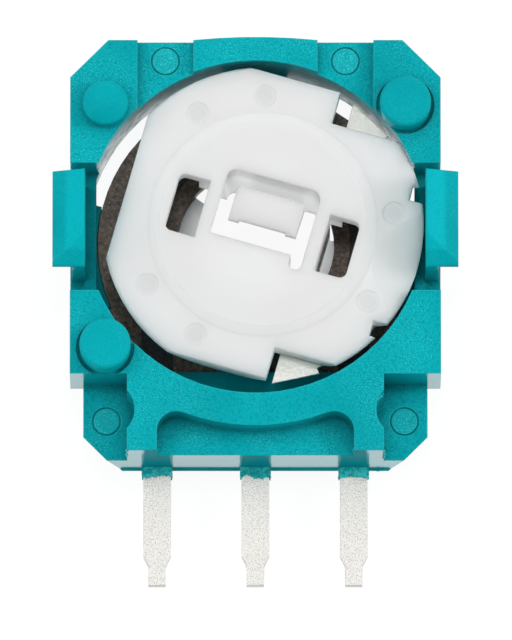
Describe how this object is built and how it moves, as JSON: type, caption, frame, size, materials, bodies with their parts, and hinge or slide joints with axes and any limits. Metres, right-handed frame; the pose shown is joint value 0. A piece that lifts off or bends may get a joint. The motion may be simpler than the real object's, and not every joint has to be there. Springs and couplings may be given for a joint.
{
  "type": "joystick potentiometer",
  "caption": "Rotary position sensor for a thumb joystick: a snap-in moulded housing with flat solder pins and a loose notched rotor whose slot takes the stick's blade.",
  "frame": {"origin": "on the axis of the round opening, at the rear face", "axes": "+Z along the axis that the rotor turns on, towards the open front; +Y away from the terminals; +X to the right seen from the front"},
  "size_m": [0.0104, 0.0138, 0.0039],
  "materials": {
    "teal_plastic": "fine spark-eroded mould grain",
    "phenolic": "brown paper laminate",
    "carbon": "printed carbon film",
    "silver_print": "printed carbon over silver",
    "tinned_pin": "matte hot-dipped tin",
    "white_plastic": "satin natural acetal",
    "spring_metal": "bright spring strip"
  },
  "bodies": {
    "base": {"housing": "teal_plastic", "resistor_wafer": "phenolic", "resistive_track": "carbon", "collector_track": "silver_print", "left_terminal": "tinned_pin", "centre_terminal": "tinned_pin", "right_terminal": "tinned_pin"},
    "turning": {"rotor": "white_plastic", "wiper": "spring_metal"}
  },
  "joints": [
    {"name": "rotor_turn", "type": "hinge", "parent": "base", "child": "turning", "pos_m": [0.00019, 0.00008, 0], "axis": [0, 0, 1], "range_deg": [-14, 46]}
  ]
}
